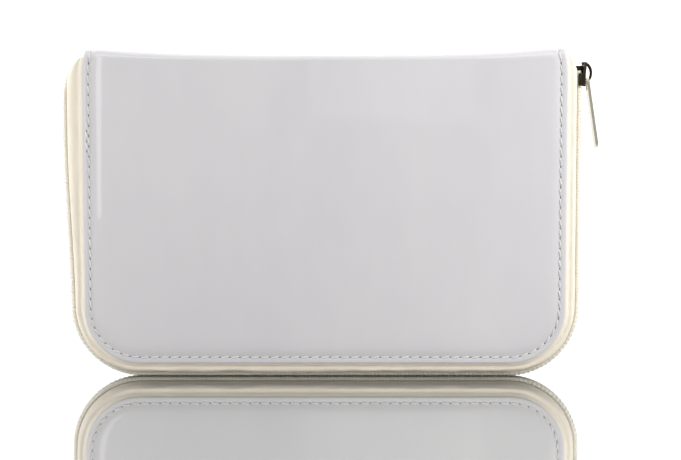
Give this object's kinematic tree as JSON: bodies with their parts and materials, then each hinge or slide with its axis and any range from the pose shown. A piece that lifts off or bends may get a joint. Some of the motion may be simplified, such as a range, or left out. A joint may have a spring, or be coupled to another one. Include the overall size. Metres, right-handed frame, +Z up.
{
  "type": "prayer book",
  "caption": "Small prayer book in a padded, stitched patent cover that closes round three sides with a coil zip, standing on its zip with the spine on top.",
  "frame": {"origin": "middle of the overall width with the pull, on the plane where the two halves of the zip chain meet, at the outside of the zip that the book stands on", "axes": "+X along the spine towards the slider's closed end, -Y out of the front cover, +Z up towards the spine"},
  "size_m": [0.2091, 0.022, 0.1286],
  "materials": {
    "patent_cover": "gloss",
    "padding": "matte",
    "greyboard": "matte",
    "lining_cloth": "satin",
    "zip_tape": "matte",
    "zip_coil": "satin",
    "sewing_thread": "satin",
    "endpaper": "matte",
    "page_paper": "matte",
    "mull_cloth": "matte",
    "headband_silk": "satin",
    "ribbon_satin": "satin",
    "plated_slider": "polished",
    "plated_pull": "polished"
  },
  "bodies": {
    "book_block": {"spine_skin": "patent_cover", "spine_board": "greyboard", "spine_mull": "mull_cloth", "spine_stitching": "sewing_thread", "head_band": "headband_silk", "tail_band": "headband_silk", "rear_section_1": "page_paper", "rear_section_2": "page_paper", "rear_section_3": "page_paper", "rear_section_4": "page_paper", "rear_flyleaf": "endpaper", "ribbon_marker": "ribbon_satin"},
    "front_cover": {"front_cover_skin": "patent_cover", "front_foam": "padding", "front_board": "greyboard", "front_lining": "lining_cloth", "front_zip_tape": "zip_tape", "front_zip_coil": "zip_coil", "front_stitching": "sewing_thread", "front_pastedown": "endpaper"},
    "rear_cover": {"rear_cover_skin": "patent_cover", "rear_foam": "padding", "rear_board": "greyboard", "rear_lining": "lining_cloth", "rear_zip_tape": "zip_tape", "rear_zip_coil": "zip_coil", "rear_stitching": "sewing_thread", "rear_pastedown": "endpaper"},
    "front_pages": {"front_section_1": "page_paper", "front_section_2": "page_paper", "front_section_3": "page_paper", "front_section_4": "page_paper", "front_flyleaf": "endpaper"},
    "leaf_1": {"loose_leaf_1": "page_paper"},
    "leaf_2": {"loose_leaf_2": "page_paper"},
    "leaf_3": {"loose_leaf_3": "page_paper"},
    "zip_slider": {"slider_body": "plated_slider", "slider_bridge": "plated_slider"},
    "pull": {"pull_tab": "plated_pull"}
  },
  "joints": [
    {"name": "front_cover_hinge", "type": "hinge", "parent": "book_block", "child": "front_cover", "pos_m": [-0.00335, -0.011, 0.1256], "axis": [-1, 0, 0], "range_deg": [0, 175]},
    {"name": "rear_cover_hinge", "type": "hinge", "parent": "book_block", "child": "rear_cover", "pos_m": [-0.00335, 0.011, 0.1256], "axis": [1, 0, 0], "range_deg": [0, 175]},
    {"name": "front_pages_turn", "type": "hinge", "parent": "book_block", "child": "front_pages", "pos_m": [-0.00335, -0.011, 0.1256], "axis": [-1, 0, 0], "range_deg": [0, 175]},
    {"name": "leaf_1_turn", "type": "hinge", "parent": "book_block", "child": "leaf_1", "pos_m": [-0.00335, -0.00045, 0.1256], "axis": [-1, 0, 0], "range_deg": [0, 87.5]},
    {"name": "leaf_2_turn", "type": "hinge", "parent": "book_block", "child": "leaf_2", "pos_m": [-0.00335, -0.0001, 0.1256], "axis": [-1, 0, 0], "range_deg": [0, 52.5]},
    {"name": "leaf_3_turn", "type": "hinge", "parent": "book_block", "child": "leaf_3", "pos_m": [-0.00335, 0.00025, 0.1256], "axis": [-1, 0, 0], "range_deg": [0, 26.25]},
    {"name": "slider_run", "type": "slide", "parent": "rear_cover", "child": "zip_slider", "axis": [0, 0, -1], "range_m": [0, 0.085], "deforming": ["front_zip_coil", "rear_zip_coil"]},
    {"name": "pull_swing", "type": "hinge", "parent": "zip_slider", "child": "pull", "pos_m": [0.09992, 0, 0.1181], "axis": [0, -1, 0], "range_deg": [-11, 125]}
  ],
  "couplings": [
    {"joint": "front_pages_turn", "follows": "front_cover_hinge", "ratio": 1},
    {"joint": "leaf_1_turn", "follows": "front_cover_hinge", "ratio": 0.5},
    {"joint": "leaf_2_turn", "follows": "front_cover_hinge", "ratio": 0.3},
    {"joint": "leaf_3_turn", "follows": "front_cover_hinge", "ratio": 0.15}
  ]
}
